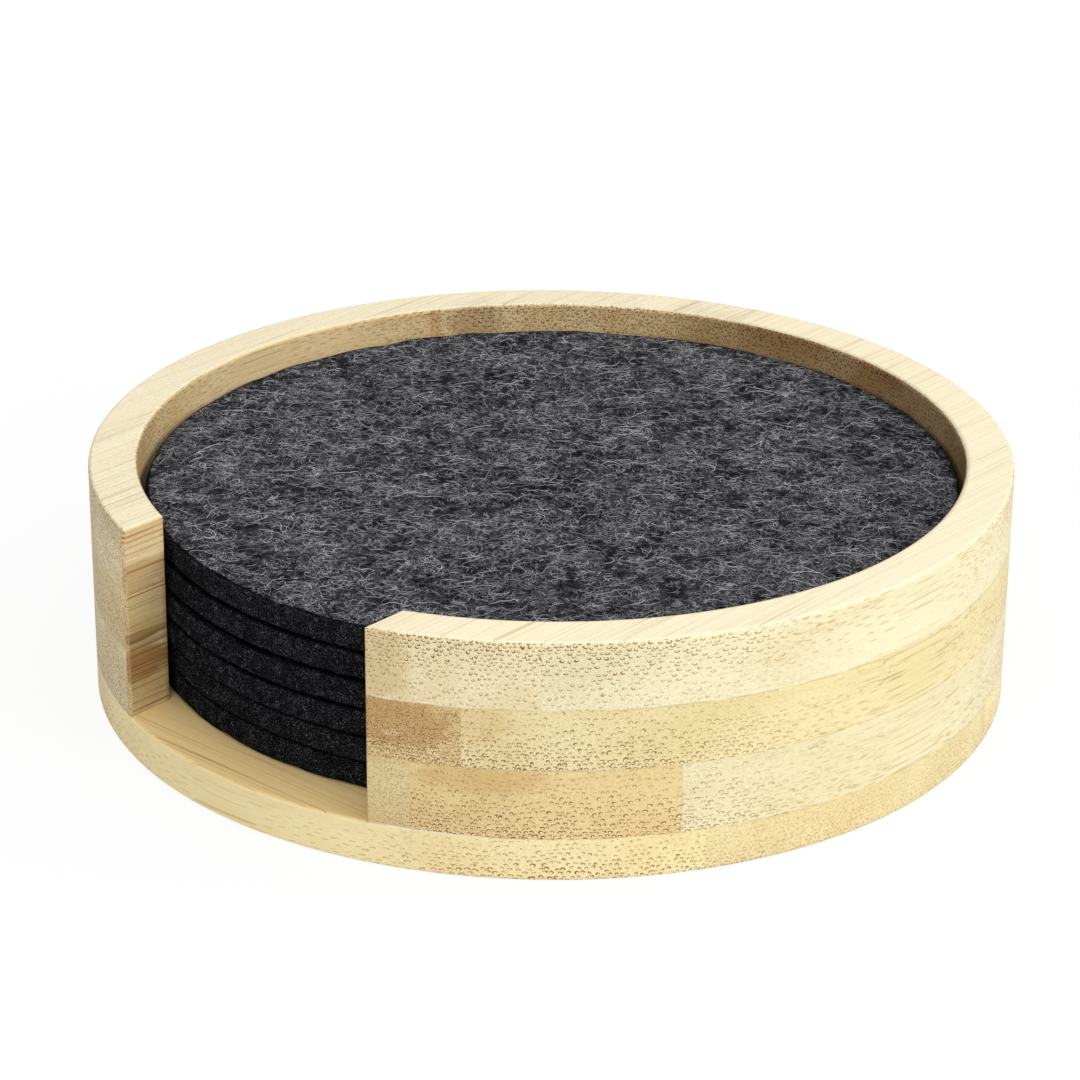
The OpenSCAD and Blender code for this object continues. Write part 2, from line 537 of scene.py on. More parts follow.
    def glued(self, colour):
        """Glue in the joints: pale where some was left near the slot, thin and dark elsewhere."""
        g, strip = self.g, self.strip
        left = g.length2(g.plus(self.x, -GLUE_LEFT[0]), g.plus(self.y, -GLUE_LEFT[1]))
        pale = g.smooth(left, GLUE_REACH, GLUE_REACH_FULL)
        worn = g.smooth(self.grain(GLUE_WORN), *GLUE_FADE)
        faces = []
        if strip.low.z > OUTSIDE:
            faces.append((g.plus(self.z, -strip.low.z), strip.low.z))
        if strip.high.z < RIM_Z / MM - OUTSIDE:
            faces.append((g.linear(self.z, -1, strip.high.z), strip.high.z))
        for to_face, level in faces:
            line = g.times(g.line(to_face, GLUE_LINE), self.aside)
            colour = g.mix(g.times(line, worn, GLUE_DEPTH), colour, GLUE_DARK)
            if min(abs(level - other) for other in GLUE_LEFT_ON) < SAME_HEIGHT:
                rest = g.times(line, pale, g.between(worn, *GLUE_LEFT_DEPTH))
                colour = g.mix(rest, colour, GLUE_PALE)
        low, high = strip.sides()
        to_side = g.math("MINIMUM", g.plus(self.across, -low), g.linear(self.across, -1, high))
        seam = g.times(g.line(to_side, SEAM_LINE, SEAM_CORE), worn, SEAM_DEPTH)
        return g.mix(seam, colour, GLUE_DARK)

    def build(self):
        """The finished material."""
        g, strip = self.g, self.strip
        fleck = self.grain(FLECK)
        dark, bright = self.bundles()
        colour = self.wood()
        for spot in strip.stains:
            colour = self.patched(colour, spot)
        colour = g.mix(g.times(self.upward, strip.top_share), colour, strip.top)
        colour = self.threaded(colour)
        colour = self.flecked(colour, fleck)
        colour = self.bundled(colour, dark, bright)
        colour = self.glued(colour)

        relief = g.plus(g.times(dark, RELIEF_BUNDLE), g.times(fleck, RELIEF_FLECK))
        relief = g.plus(g.times(self.fine, RELIEF_FINE), relief)
        inputs = self.shader.inputs
        g.put(inputs["Base Color"], colour)
        g.put(inputs["Roughness"], g.between(self.fine, *BAMBOO_ROUGHNESS))
        g.put(inputs["Normal"], g.bump(relief, RELIEF_STRENGTH, RELIEF_DEPTH * MM))
        inputs["Specular IOR Level"].default_value = BAMBOO_SPECULAR
        return self.material


# X and Y of the slot's left end face, and how far stains and painted shade on it reach in X and Y,
# in mm
SLOT_END_PLACE = (-19.75, -54)
SLOT_END_REACH = (0.8, 9)


def end_patch(level, half_height, depth, code):
    """A stain across the slot's left end face, on the middle and lower plies partly painted shade;
    level and half height in mm.
    """
    return ColourPatch((*SLOT_END_PLACE, level), (*SLOT_END_REACH, half_height), depth, code)


# A strip's look. Sides: pale and deep colour. Bundles: their pitch in mm and strength, and the
# strength of flecks. Lines along the fibres: colour, depth on sides and on upper faces, width.
# Upper face and wall of the well: colour and its share; on the well's back wall the darker colour
# is painted shade.
USUAL = {
    "pitch": 0.55, "bundles": 1, "speckle": 1,
    "thread": "966322", "threads": 0.45, "top_threads": 0.32, "line": 0.022,
    "top": "f8efd2", "top_share": 0, "well": "c08a3c", "well_share": 0, "stains": (),
}
# Each layer: axis of its fibres, whether its dense face is up, and what differs from the usual
LAYERS = {
    "base_strip": {
        "fibre": "X", "dense_up": False, "pitch": 0.6, "pale": "f3e4b2", "deep": "e2ca90",
        "top": "eec880", "top_share": 0.6, "threads": 0.05, "top_threads": 0.6},
    "lower_ply_strip": {
        "fibre": "Y", "dense_up": False, "pale": "eaddb0", "deep": "dac690", "well_share": 0.5},
    "middle_ply_strip": {
        "fibre": "Y", "dense_up": False, "pale": "ebd8a4", "deep": "dabf82", "well_share": 0.5},
    "upper_ply_strip": {
        "fibre": "Y", "dense_up": True, "pitch": 0.6, "pale": "f0e3bc", "deep": "dfca98",
        "thread": "b5863a", "top_threads": 0.4, "top": "f9efd0", "top_share": 0.74,
        "well": "e0a848", "well_share": 0.36},
}
# Strips that stand out in the photograph, with their stains and, on the slot's end face and in the
# well, painted shade
BASE_MIDDLE = {"pale": "e9d9a8", "deep": "dac48a", "bundles": 0.5, "speckle": 1.2}
LEFT_SIDE = {"bundles": 0.7, "speckle": 3, "deep": "c4ac7e"}
SLOT_END = {**LEFT_SIDE, "threads": 1, "line": 0.036, "thread": "6a3f14"}
STRIPS = {
    "base_strip_2": BASE_MIDDLE,
    "base_strip_3": BASE_MIDDLE,
    "lower_ply_strip_2": LEFT_SIDE,
    # Darker low on the slot's end face: partly a brown stain, partly painted shade
    "lower_ply_strip_3": {**SLOT_END, "stains": [
        end_patch(10, 8, 0.4, "c89a54"),
        end_patch(12, 2.6, 0.75, "9a6a30")]},
    "lower_ply_strip_4": {"pale": "e2cf9d", "deep": "cdb47c", "bundles": 0.35, "speckle": 1.9},
    "lower_ply_strip_5": {"pale": "e5cf99", "deep": "d2b477", "stains": [
        ColourPatch((32, -48, 12.6), (9, 9, 2), 0.45, "c39b5c")]},
    "lower_ply_strip_6": {"pale": "eae1bc", "deep": "ddcd9b"},
    "middle_ply_strip_1": LEFT_SIDE,
    # Darker on the slot's end face: partly a brown stain, partly painted shade
    "middle_ply_strip_2": {**SLOT_END, "stains": [
        end_patch(18, 7, 0.4, "c09a60"),
        end_patch(15.6, 0.8, 0.6, "7d5426")]},
    "middle_ply_strip_4": {"pale": "e2cb95", "deep": "ceae6e", "speckle": 2.8, "stains": [
        ColourPatch((22.5, -53, 18.8), (8.5, 9, 3.6), 0.6, "a87c40"),
        ColourPatch((22.6, -53, 17.4), (1.1, 6, 0.5), 0.3, "efe6d4")]},
    "middle_ply_strip_5": {"pale": "e9dbaa", "deep": "dac58b", "stains": [
        ColourPatch((30, -49, 19.5), (6, 9, 3), 0.35, "c9a768")]},
    "upper_ply_strip_1": {**LEFT_SIDE, "stains": [
        ColourPatch((-44.6, 26, 28), (0.2, 3, 6), 0.4, "b5702c")]},
    "upper_ply_strip_2": {**LEFT_SIDE, "threads": 0.7, "line": 0.03, "thread": "8a5a20", "stains": [
        end_patch(26, 8, 0.4, "d6b06c"),
        end_patch(23.4, 2.4, 0.55, "ab844a"),
        end_patch(28.9, 0.16, 0.7, "a8681e"),
        end_patch(28.2, 0.14, 0.6, "a8681e"),
        end_patch(26.6, 0.14, 0.5, "b07a2e"),
        ColourPatch((-41.5, 31, 28), (3.2, 5, 4), 0.4, "7d4f28"),
        ColourPatch((-10, 50, 26), (11, 4, 9), 0.5, "96693a"),
        ColourPatch((-44.2, 26, 28), (0.2, 3, 6), 0.4, "b5702c")]},
    # Well's back wall, darker towards the right: its amber with painted shade, as that wall faces
    # away from the key lamp
    "upper_ply_strip_3": {"well": "9a6e3a", "well_share": 0.8},
    "upper_ply_strip_4": {"well": "906838", "well_share": 0.82, "stains": [
        ColourPatch((20, -54, 26), (5, 9, 8), 0.5, "c2a568")]},
    "upper_ply_strip_5": {"pale": "ede5c1", "deep": "ddcd9f", "well": "8c7040", "well_share": 0.9},
}


def dress_bamboo():
    """Give each strip its own bamboo."""
    for layer, layer_look in LAYERS.items():
        names = sorted(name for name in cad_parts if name.startswith(layer))
        for number, name in enumerate(names):
            look = {**USUAL, **layer_look, **STRIPS.get(name, {})}
            paint = Bamboo(Strip(name, look, LAYER_SEED * len(layer) + number)).build()
            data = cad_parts[name].data
            data.materials.clear()
            data.materials.append(paint)


dress_bamboo()


# Felt

# How far the felt's faces lie inside its slab, at least too, and height and size of lumps, in mm
FELT_INSET = 0.08
FELT_INSET_LEAST = 0.01
FELT_LUMP = 0.05
FELT_LUMP_SIZE = 5
# Drop of the faces at the die-cut rim, how far in it reaches and the size of its waves, in mm
RIM_DROP = 0.12
RIM_DROP_REACH = 0.6
RIM_DROP_SIZE = 5
RIM_DROP_SWING = 1.1
# Depth and size of the raggedness of the cut, and the round between face and cut, in mm
CUT_RAGGED = 0.06
CUT_RAGGED_SIZE = 1.8
CUT_ROUND = 0.28
# Finer raggedness, as shares of the above, and how full the round is: less is fuller
FRAY_SIZE = 0.5
FRAY_DEPTH = 0.6
CUT_FULLNESS = 0.35
# Steps of the discs' meshes, and how their rings crowd towards the rim: less is more
FELT_STEPS_ROUND = 600
FELT_RINGS = 44
FELT_UNDER_RINGS = 16
FELT_CUT_STEPS = 10
FELT_CROWDING = 0.8
FELT_UNDER_CROWDING = 0.6
# Number of waves in smooth noise, their lengths as shares of its size, and where it is cut off
WAVE_COUNT = 20
WAVE_LENGTHS = (0.7, 2)
WAVE_MOST = 1.5
# Seed steps: from one coaster to the next, to its underside, and to each kind of noise
COASTER_SEED = 100
UNDER_SEED = 50
RIM_SEED, CUT_SEED, FRAY_SEED, CLUMP_SEED, CUT_FIBRE_SEED, FIBRE_R_SEED = range(1, 7)
FULL_TURN = 2 * math.pi


def waves(points, size, seed):
    """Smooth noise, about -1 to 1, at places in mm: waves of about one size in all directions."""
    dice = np.random.default_rng(seed)
    total = np.zeros(points.shape[:-1])
    for _ in range(WAVE_COUNT):
        way = dice.normal(size=3)
        way *= FULL_TURN / (size * dice.uniform(*WAVE_LENGTHS)) / np.linalg.norm(way)
        total += np.sin(points @ way + dice.uniform(0, FULL_TURN))
    return np.clip(total / math.sqrt(WAVE_COUNT), -WAVE_MOST, WAVE_MOST)


def face_inset(places, radius, seed):
    """How far a face lies inside the slab at places in plan, in mm: lumps and a drop at the rim."""
    lump = FELT_INSET + FELT_LUMP * waves(places, FELT_LUMP_SIZE, seed)
    inward = np.maximum(0, radius - np.hypot(places[..., 0], places[..., 1]))
    uneven = np.maximum(0, 1 + RIM_DROP_SWING * waves(places, RIM_DROP_SIZE, seed + RIM_SEED))
    drop = RIM_DROP * uneven * np.exp(-inward / RIM_DROP_REACH)
    return np.maximum(FELT_INSET_LEAST, lump) + drop


def flat_rings(radii):
    """Rings of places in plan, one row of the array to a radius."""
    turn = np.linspace(0, FULL_TURN, FELT_STEPS_ROUND, endpoint=False)
    plan = np.stack([np.cos(turn), np.sin(turn), np.zeros_like(turn)], -1)
    return np.asarray(radii)[:, None, None] * plan[None]


def felt_rings(radius, thickness, seed):
    """Rings of points of a felt disc, from the middle of its upper face to its underside's."""
    face_r = radius - CUT_ROUND
    upper = flat_rings(face_r * np.linspace(0, 1, FELT_RINGS + 1)[1:] ** FELT_CROWDING)
    upper[..., 2] = thickness - face_inset(upper, radius, seed)
    under_share = np.linspace(1, 0, FELT_UNDER_RINGS + 1)[:-1]
    under = flat_rings(face_r * under_share ** FELT_UNDER_CROWDING)
    under[..., 2] = face_inset(under, radius, seed + UNDER_SEED)
    share = np.linspace(0, 1, FELT_CUT_STEPS + 2)[1:-1]
    cut = flat_rings(face_r + CUT_ROUND * np.sin(math.pi * share) ** CUT_FULLNESS)
    cut[..., 2] = upper[-1, :, 2] + (under[0, :, 2] - upper[-1, :, 2]) * share[:, None]
    fray = FRAY_DEPTH * waves(cut, FRAY_SIZE * CUT_RAGGED_SIZE, seed + FRAY_SEED)
    ragged = waves(cut, CUT_RAGGED_SIZE, seed + CUT_SEED) + fray
    cut[..., :2] *= (1 + CUT_RAGGED * ragged / radius)[..., None]
    return np.concatenate([upper, cut, under])


def new_mesh(name, points, triangles):
    """A smooth mesh from arrays of points in mm and of triangles."""
    mesh = bpy.data.meshes.new(name)
    mesh.from_pydata(points * MM, [], triangles)
    mesh.polygons.foreach_set("use_smooth", np.ones(len(triangles), bool))
    mesh.update()
    return mesh


def skin(count, steps):
    """Triangles between rings of points that lie one after another in an array."""
    here = np.arange(count - 1)[:, None] * steps
    a, b = here + np.arange(steps), here + (np.arange(steps) + 1) % steps
    halves = np.stack([a, a + steps, b + steps], -1), np.stack([a, b + steps, b], -1)
    return np.concatenate(halves).reshape(-1, 3)


def felt_mesh(name, radius, thickness, seed):
    """A felt disc about the origin with its underside at 0: lumpy faces and a ragged cut."""
    rings = felt_rings(radius, thickness, seed)
    count, steps = rings.shape[:2]
    middles = [[0, 0, rings[0, :, 2].mean()], [0, 0, rings[-1, :, 2].mean()]]
    points = np.concatenate([rings.reshape(-1, 3), middles])
    top = np.full(steps, count * steps)
    a, b = np.arange(steps), (np.arange(steps) + 1) % steps
    last = (count - 1) * steps
    upper = np.stack([top, a, b], -1)
    under = np.stack([top + 1, last + b, last + a], -1)
    return new_mesh(name, points, np.concatenate([upper, skin(count, steps), under]))


# Loose fibres on the felt: how many lie on the upper face and on the cut, and their sizes in mm
FIBRES_FACE = 5600
FIBRES_CUT = 500
FIBRE_R = (0.015, 0.03)
FIBRE_LENGTH = (0.8, 4.5)
FIBRE_CUT_LENGTH = (0.25, 0.7)
# How far fibres stand off the cut and sink into it, rise off the face and past the slab, in mm
FIBRE_CUT_OUT = 0.1
FIBRE_CUT_SUNK = 0.02
FIBRE_LIFT = 0.12
FIBRE_CLEAR = 0.005
FIBRE_PAST_SLAB = 0.05
# How far from the faces fibres on the cut start and stay, in mm
FIBRE_CUT_START = 0.4
FIBRE_CUT_STAY = 0.25
# Sizes of the clumps of fibres in mm, the usual chance of a fibre, and its swing with each size
FIBRE_CLUMP_SIZES = (7, 2)
FIBRE_CHANCE = 0.4
FIBRE_CHANCE_SWINGS = (0.25, 0.3)
# Fibres tried for each one kept, and bends of a whole fibre and of each joint, in radians
FIBRE_TRIES = 3
FIBRE_BEND = 0.35
FIBRE_JOINT_BEND = 0.5
FIBRE_JOINTS = 6
FIBRE_SIDES = 3
FIBRE_TAPER = 0.5
# Least tone of a fibre on the face, and most of one on the cut
FIBRE_FACE_TONE = 0.2
FIBRE_CUT_TONE = 0.25
TINY = 1e-9


def face_fibres(radius, thickness, seed, margin):
    """Paths of fibres on the upper face, a margin in from its rim, and their tones from 0 to 1."""
    dice = np.random.default_rng(seed)
    tries = FIBRE_TRIES * FIBRES_FACE
    start_r = (radius - margin) * np.sqrt(dice.random(tries))
    start_turn = dice.uniform(0, FULL_TURN, tries)
    start_x, start_y = start_r * np.cos(start_turn), start_r * np.sin(start_turn)
    start = np.stack([start_x, start_y, np.zeros(tries)], -1)
    shortest, longest = FIBRE_LENGTH
    length = shortest + (longest - shortest) * dice.random(tries) ** 2
    bend = dice.normal(0, FIBRE_BEND, tries)[:, None]
    bend = bend + dice.normal(0, FIBRE_JOINT_BEND, (tries, FIBRE_JOINTS - 1))
    heading = dice.uniform(0, FULL_TURN, tries)[:, None] + np.cumsum(bend, 1)
    step = (length / (FIBRE_JOINTS - 1))[:, None, None]
    moves = step * np.stack([np.cos(heading), np.sin(heading), np.zeros_like(heading)], -1)
    paths = np.concatenate([start[:, None], start[:, None] + np.cumsum(moves, 1)], 1)
    inside = np.hypot(paths[..., 0], paths[..., 1]).max(1) < radius - margin
    chance = FIBRE_CHANCE
    for size, swing in zip(FIBRE_CLUMP_SIZES, FIBRE_CHANCE_SWINGS):
        chance = chance + swing * waves(start, size, seed + CLUMP_SEED)
    crowded = dice.random(tries) < chance
    paths = paths[inside & crowded][:FIBRES_FACE]
    arch = np.sin(np.linspace(0, math.pi, FIBRE_JOINTS))
    lift = FIBRE_LIFT * dice.random(len(paths)) ** 3
    level = thickness - face_inset(paths, radius, seed) + FIBRE_CLEAR + lift[:, None] * arch
    paths[..., 2] = np.minimum(level, thickness + FIBRE_PAST_SLAB)
    tones = FIBRE_FACE_TONE + (1 - FIBRE_FACE_TONE) * dice.random(len(paths)) ** 2
    return paths, tones


def cut_fibres(radius, thickness, seed):
    """Paths of short fibres that lie on the cut, and their tones from 0 to 1."""
    dice = np.random.default_rng(seed + CUT_FIBRE_SEED)
    share = np.linspace(0, 1, FIBRE_JOINTS)
    length = dice.uniform(*FIBRE_CUT_LENGTH, FIBRES_CUT)
    way = dice.uniform(0, FULL_TURN, FIBRES_CUT)
    turn = dice.uniform(0, FULL_TURN, FIBRES_CUT)[:, None]
    turn = turn + np.outer(length * np.cos(way), share) / radius
    level = dice.uniform(FIBRE_CUT_START, thickness - FIBRE_CUT_START, FIBRES_CUT)[:, None]
    level = level + np.outer(length * np.sin(way), share)
    level = np.clip(level, FIBRE_CUT_STAY, thickness - FIBRE_CUT_STAY)
    arch = np.outer(FIBRE_CUT_OUT * dice.random(FIBRES_CUT), np.sin(math.pi * share))
    out = radius - FIBRE_CUT_SUNK + arch
    paths = np.stack([out * np.cos(turn), out * np.sin(turn), level], -1)
    return paths, FIBRE_CUT_TONE * dice.random(FIBRES_CUT) ** 2


def unit(vectors):
    """The same directions at a length of 1."""
    return vectors / (np.linalg.norm(vectors, axis=-1, keepdims=True) + TINY)


def fibre_mesh(name, radius, thickness, seed, margin):
    """Loose fibres of one coaster as thin closed tubes, with their tone in a colour attribute."""
    on_face = face_fibres(radius, thickness, seed, margin)
    on_cut = cut_fibres(radius, thickness, seed)
    paths, tones = (np.concatenate(pair) for pair in zip(on_face, on_cut))
    ahead = np.gradient(paths, axis=1)
    side = unit(np.cross(ahead, [0.0, 0.0, 1.0]))
    up = unit(np.cross(side, ahead))
    slim = np.ones(FIBRE_JOINTS)
    slim[[0, -1]] = FIBRE_TAPER
    dice = np.random.default_rng(seed + FIBRE_R_SEED)
    thick = dice.uniform(*FIBRE_R, len(paths))[:, None] * slim
    corners = math.pi / 2 + FULL_TURN * np.arange(FIBRE_SIDES) / FIBRE_SIDES
    around = side[:, :, None] * np.cos(corners)[:, None] + up[:, :, None] * np.sin(corners)[:, None]
    points = (paths[:, :, None] + thick[:, :, None, None] * around).reshape(-1, 3)

    first_ring = np.arange(FIBRE_SIDES)
    last_ring = first_ring + (FIBRE_JOINTS - 1) * FIBRE_SIDES
    tube = skin(FIBRE_JOINTS, FIBRE_SIDES)[:, ::-1]
    one = np.concatenate([tube, [first_ring[::-1], last_ring]])
    points_each = FIBRE_JOINTS * FIBRE_SIDES
    firsts = np.arange(len(paths)) * points_each
    mesh = new_mesh(name, points, (firsts[:, None, None] + one).reshape(-1, 3))
    values = np.ones((len(tones), points_each, 4), np.float32)
    values[..., :3] = tones[:, None, None]
    shade = mesh.color_attributes.new("tone", "FLOAT_COLOR", "POINT")
    shade.data.foreach_set("color", values.ravel())
    return mesh


# Colours of the felt and of its loose fibres


class Mottle(NamedTuple):
    """Noise of one size in all directions: waves per mm, detail and roughness."""
    per_mm: float
    detail: int
    roughness: float


FELT_DEEP = tone("0c0b0f")
FELT_MID = tone("2b2a30")
FELT_FIBRE = tone("f2f2f8")
FELT_CUT_DEEP = tone("08080a")
FELT_CUT_LIGHT = tone("727278")
FIBRE_DARK = tone("1e1e22")
FIBRE_LIGHT = tone("ebebf0")
FIBRE_ROUGHNESS = 0.7
FIBRE_SPECULAR = 0.2
# Clumps and smaller tufts of fibres, the mat under them, tangles, and specks of the cut
CLUMP = Mottle(0.2, 3, 0.65)
TUFT = Mottle(0.8, 2, 0.6)
MAT = Mottle(2.6, 4, 0.75)
TANGLE = Mottle(1.6, 3, 0.6)
SPECK = Mottle(6.5, 3, 0.75)
CLUMP_FADE = (0.38, 0.64)
TUFT_FADE = (0.4, 0.64)
MAT_FADE = (0.38, 0.66)
SPECK_FADE = (0.48, 0.74)
TANGLE_LINE = 0.05
TANGLE_DEPTH = 0.15
# How strongly fibres and the mat show, from where there is neither clump nor tuft to either
FIBRE_SHOWN = (0.06, 0.55)
MAT_SHOWN = (0.4, 0.7)
# Specks of the cut outside and inside tufts, and the painted shade at its edges where coasters
# meet, in mm
SPECK_SHOWN = (0.4, 1)
CUT_EDGE_SHADE = (0.05, 0.4)
# Heights of mat, fibres and specks in the relief, its strength, and its depth in mm
FELT_RELIEF_MAT = 0.6
FELT_RELIEF_FIBRE = 0.8
FELT_RELIEF_SPECK = 0.5
FELT_RELIEF_STRENGTH = 0.8
FELT_RELIEF_DEPTH = 0.25
# Layers of short curved fibres drawn on the felt: cell size in mm and turn of the grid in degrees
FIBRE_LAYERS = [
    (1.6, 11), (1.1, 37), (2.1, 64), (0.9, 83), (1.4, 101), (2.5, 128), (1.0, 149), (1.5, 173),
    (0.85, 22), (1.2, 53), (1.8, 94), (1.3, 137), (1.65, 70), (1.05, 160), (2.3, 5),
]
# Half width of a drawn fibre in mm; its sway, curl, waves and fading ends, in cells
FIBRE_LINE = 0.05
FIBRE_SWAY = 0.3
FIBRE_CURL = 1.3
FIBRE_WAVES = 11
FIBRE_WAVE_HEIGHT = 0.03
FIBRE_ENDS = (0.47, 0.36)
# Faintest and strongest drawn fibre, and how rare the strong ones are
FIBRE_STRENGTH = (0.05, 1)
FIBRE_RARITY = 5
# Steps from one coaster to the next in the grids of drawn fibres and in the noise
LAYER_STEP = 7.31
MOTTLE_STEP = 17
# Width of the band at the rim where the cut's colour takes over from the face's, in mm: on the top
# coaster, and on those below, where it is painted wider as shade under the coaster above
TOP_BAND = 0.25
SHADED_BAND = 0.9
# How far in from the rim loose fibres stay, in bands
FIBRE_MARGIN = 1.6


class Felt:
    """The node graph of one coaster's charcoal felt."""

    def __init__(self, number, band):
        self.number = number
        self.band = band
        self.material, self.g, self.shader = new_material(f"felt_{number}")
        g = self.g
        self.x, self.y, self.z = g.split(g.object_mm())
        self.clump = g.smooth(self.mottle(CLUMP), *CLUMP_FADE)
        self.tuft = g.smooth(self.mottle(TUFT), *TUFT_FADE)
        self.mat = self.mottle(MAT)
        self.speck = self.mottle(SPECK)
        self.crowd = g.between(g.plus(self.clump, self.tuft), *FIBRE_SHOWN)
        self.shown = g.math("MULTIPLY", self.strands(), self.crowd, clamp=True)

    def mottle(self, kind):
        """Noise in all directions."""
        g = self.g
        shifted = g.linear(self.x, kind.per_mm, MOTTLE_STEP * self.number)
        place = g.combine(shifted, g.times(self.y, kind.per_mm), g.times(self.z, kind.per_mm))
        return g.noise(place, kind.detail, kind.roughness)

    def fibre_layer(self, cell, turn, seed):
        """Short curved fibres, one to a cell: how strongly a fibre shows at a place."""
        g = self.g
        c, s = math.cos(math.radians(turn)), math.sin(math.radians(turn))
        u = g.linear(g.plus(g.times(self.x, c), g.times(self.y, -s)), 1 / cell, seed)
        v = g.linear(g.plus(g.times(self.x, s), g.times(self.y, c)), 1 / cell, -seed)
        column, row = g.math("FLOOR", u), g.math("FLOOR", v)
        luck_turn, luck_curl, luck_tone, luck_place = g.dice(column, row, seed)
        from_u = g.plus(g.minus(u, column), -0.5)
        from_v = g.from_middle(v, row, luck_place, FIBRE_SWAY)
        angle = g.times(luck_turn, FULL_TURN)
        ca, sa = g.math("COSINE", angle), g.math("SINE", angle)
        a = g.plus(g.times(from_u, ca), g.times(from_v, sa))
        b = g.minus(g.times(from_v, ca), g.times(from_u, sa))
        curl = g.swing(luck_curl, FIBRE_CURL)
        wave = g.times(g.math("SINE", g.linear(a, FIBRE_WAVES, seed)), FIBRE_WAVE_HEIGHT)
        off = g.size(g.plus(g.minus(b, g.times(curl, a, a)), wave))
        steep = g.math("SQRT", g.plus(1, g.math("POWER", g.times(2, curl, a), 2)))
        near = g.line(g.over(off, steep), FIBRE_LINE / cell)
        end = g.smooth(g.size(a), *FIBRE_ENDS)
        strength = g.between(g.math("POWER", luck_tone, FIBRE_RARITY), *FIBRE_STRENGTH)
        return g.times(near, end, strength)

    def strands(self):
        """All layers of drawn fibres together."""
        total = 0
        for number, (cell, turn) in enumerate(FIBRE_LAYERS):
            layer = self.fibre_layer(cell, turn, LAYER_STEP * self.number + number)
            total = self.g.larger(total, layer)
        return total

    def face(self):
        """Fibres over a dark mat."""
        g = self.g
        shown = g.between(g.plus(self.clump, self.tuft), *MAT_SHOWN)
        colour = g.mix(g.times(g.smooth(self.mat, *MAT_FADE), shown), FELT_DEEP, FELT_MID)
        tangle = g.smooth(g.from_contour(self.mottle(TANGLE)), TANGLE_LINE, 0)
        colour = g.mix(g.times(tangle, self.crowd, TANGLE_DEPTH), colour, FELT_FIBRE)
        return g.mix(self.shown, colour, FELT_FIBRE)

    def cut(self):
        """The dense dark cut round the rim, with painted shade at either edge, where the coasters
        meet.
        """
        g = self.g
        to_edge = g.math("MINIMUM", self.z, g.linear(self.z, -1, COASTER_T / MM))
        # Specks fade out near the upper and lower edge: painted shade in the gaps between coasters
        clear_of_shade = g.smooth(to_edge, *CUT_EDGE_SHADE)
        specks = g.smooth(self.speck, *SPECK_FADE)
        grain = g.times(specks, g.between(self.tuft, *SPECK_SHOWN), clear_of_shade)
        return g.mix(grain, FELT_CUT_DEEP, FELT_CUT_LIGHT)

    def build(self):
        """The finished material."""
        g, band = self.g, self.band
        rim = COASTER_R / MM
        # Cut colour over a band at the rim; on the coasters below, the wider band is painted shade
        at_rim = g.smooth(g.length2(self.x, self.y), rim - 2 * band, rim - band)
        relief = g.times(self.speck, FELT_RELIEF_SPECK)
        relief = g.plus(g.times(self.shown, FELT_RELIEF_FIBRE), relief)
        relief = g.plus(g.times(self.mat, FELT_RELIEF_MAT), relief)
        inputs = self.shader.inputs
        g.put(inputs["Base Color"], g.mix(at_rim, self.face(), self.cut()))
        g.put(inputs["Normal"], g.bump(relief, FELT_RELIEF_STRENGTH, FELT_RELIEF_DEPTH * MM))
        inputs["Roughness"].default_value = 1
        inputs["Specular IOR Level"].default_value = 0
        return self.material


def loose_fibre():
    """Grey wool fibres, each with the tone in its colour attribute."""
    material, g, shader = new_material("felt_fibre")
    shade = g.add("ShaderNodeVertexColor", output="Color", layer_name="tone")
    g.put(shader.inputs["Base Color"], g.mix(g.split(shade)[0], FIBRE_DARK, FIBRE_LIGHT))
    shader.inputs["Roughness"].default_value = FIBRE_ROUGHNESS
    shader.inputs["Specular IOR Level"].default_value = FIBRE_SPECULAR
    return material


def make_coasters():
    """Felt discs with loose fibres in place of the plain coasters, from the bottom up."""
    fibre_paint = loose_fibre()
    radius, thickness, width = COASTER_R / MM, COASTER_T / MM, 2 * COASTER_R
    for number, node in enumerate(COASTERS, 1):
        low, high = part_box(node)
        foot = Vector(((low.x + high.x) / 2, (low.y + high.y) / 2, low.z))
        body = node.replace("felt_", "")
        # Coasters below get a wider dark band: painted shade under the coaster above
        band = TOP_BAND if number == len(COASTERS) else SHADED_BAND
        seed = COASTER_SEED * number
        disc_data = felt_mesh(node, radius, thickness, seed)
        fuzz_data = fibre_mesh(f"fibres_{number}", radius, thickness, seed, FIBRE_MARGIN * band)
        disc = bpy.data.objects.new(f"felt_disc_{number}", disc_data)
        fuzz = bpy.data.objects.new(f"felt_fibres_{number}", fuzz_data)
        disc.data.materials.append(Felt(number, band).build())
        fuzz.data.materials.append(fibre_paint)
        for piece in (disc, fuzz):
            piece.location = foot
            scene.collection.objects.link(piece)
            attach(piece, body)
        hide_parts(node)


make_coasters()


# Stage, light and camera

# Half width of the floor and its tone
FLOOR_HALF = 2.0
FLOOR_TONE = (0.92, 0.92, 0.92, 1)
# Distances from the middle of the set within which the floor shows its shadow, in metres, and
# how white the floor is to the camera near the set and away from it
SHADOW_NEAR = 0.075
SHADOW_FAR = 0.16
FLOOR_WHITE = (0.9, 1)
# Light that comes from all round, as a share of white
WORLD_LEVEL = 0.45
# Lamps: azimuth, to the right of the camera, and elevation in degrees, distance and size in
# metres, and watts
LAMPS = {
    "key": (70, 36, 0.9, 0.6, 3.9),
    "top": (10, 78, 0.9, 0.6, 3.1),
    "fill": (-5, 20, 1.0, 0.6, 2.1),
}
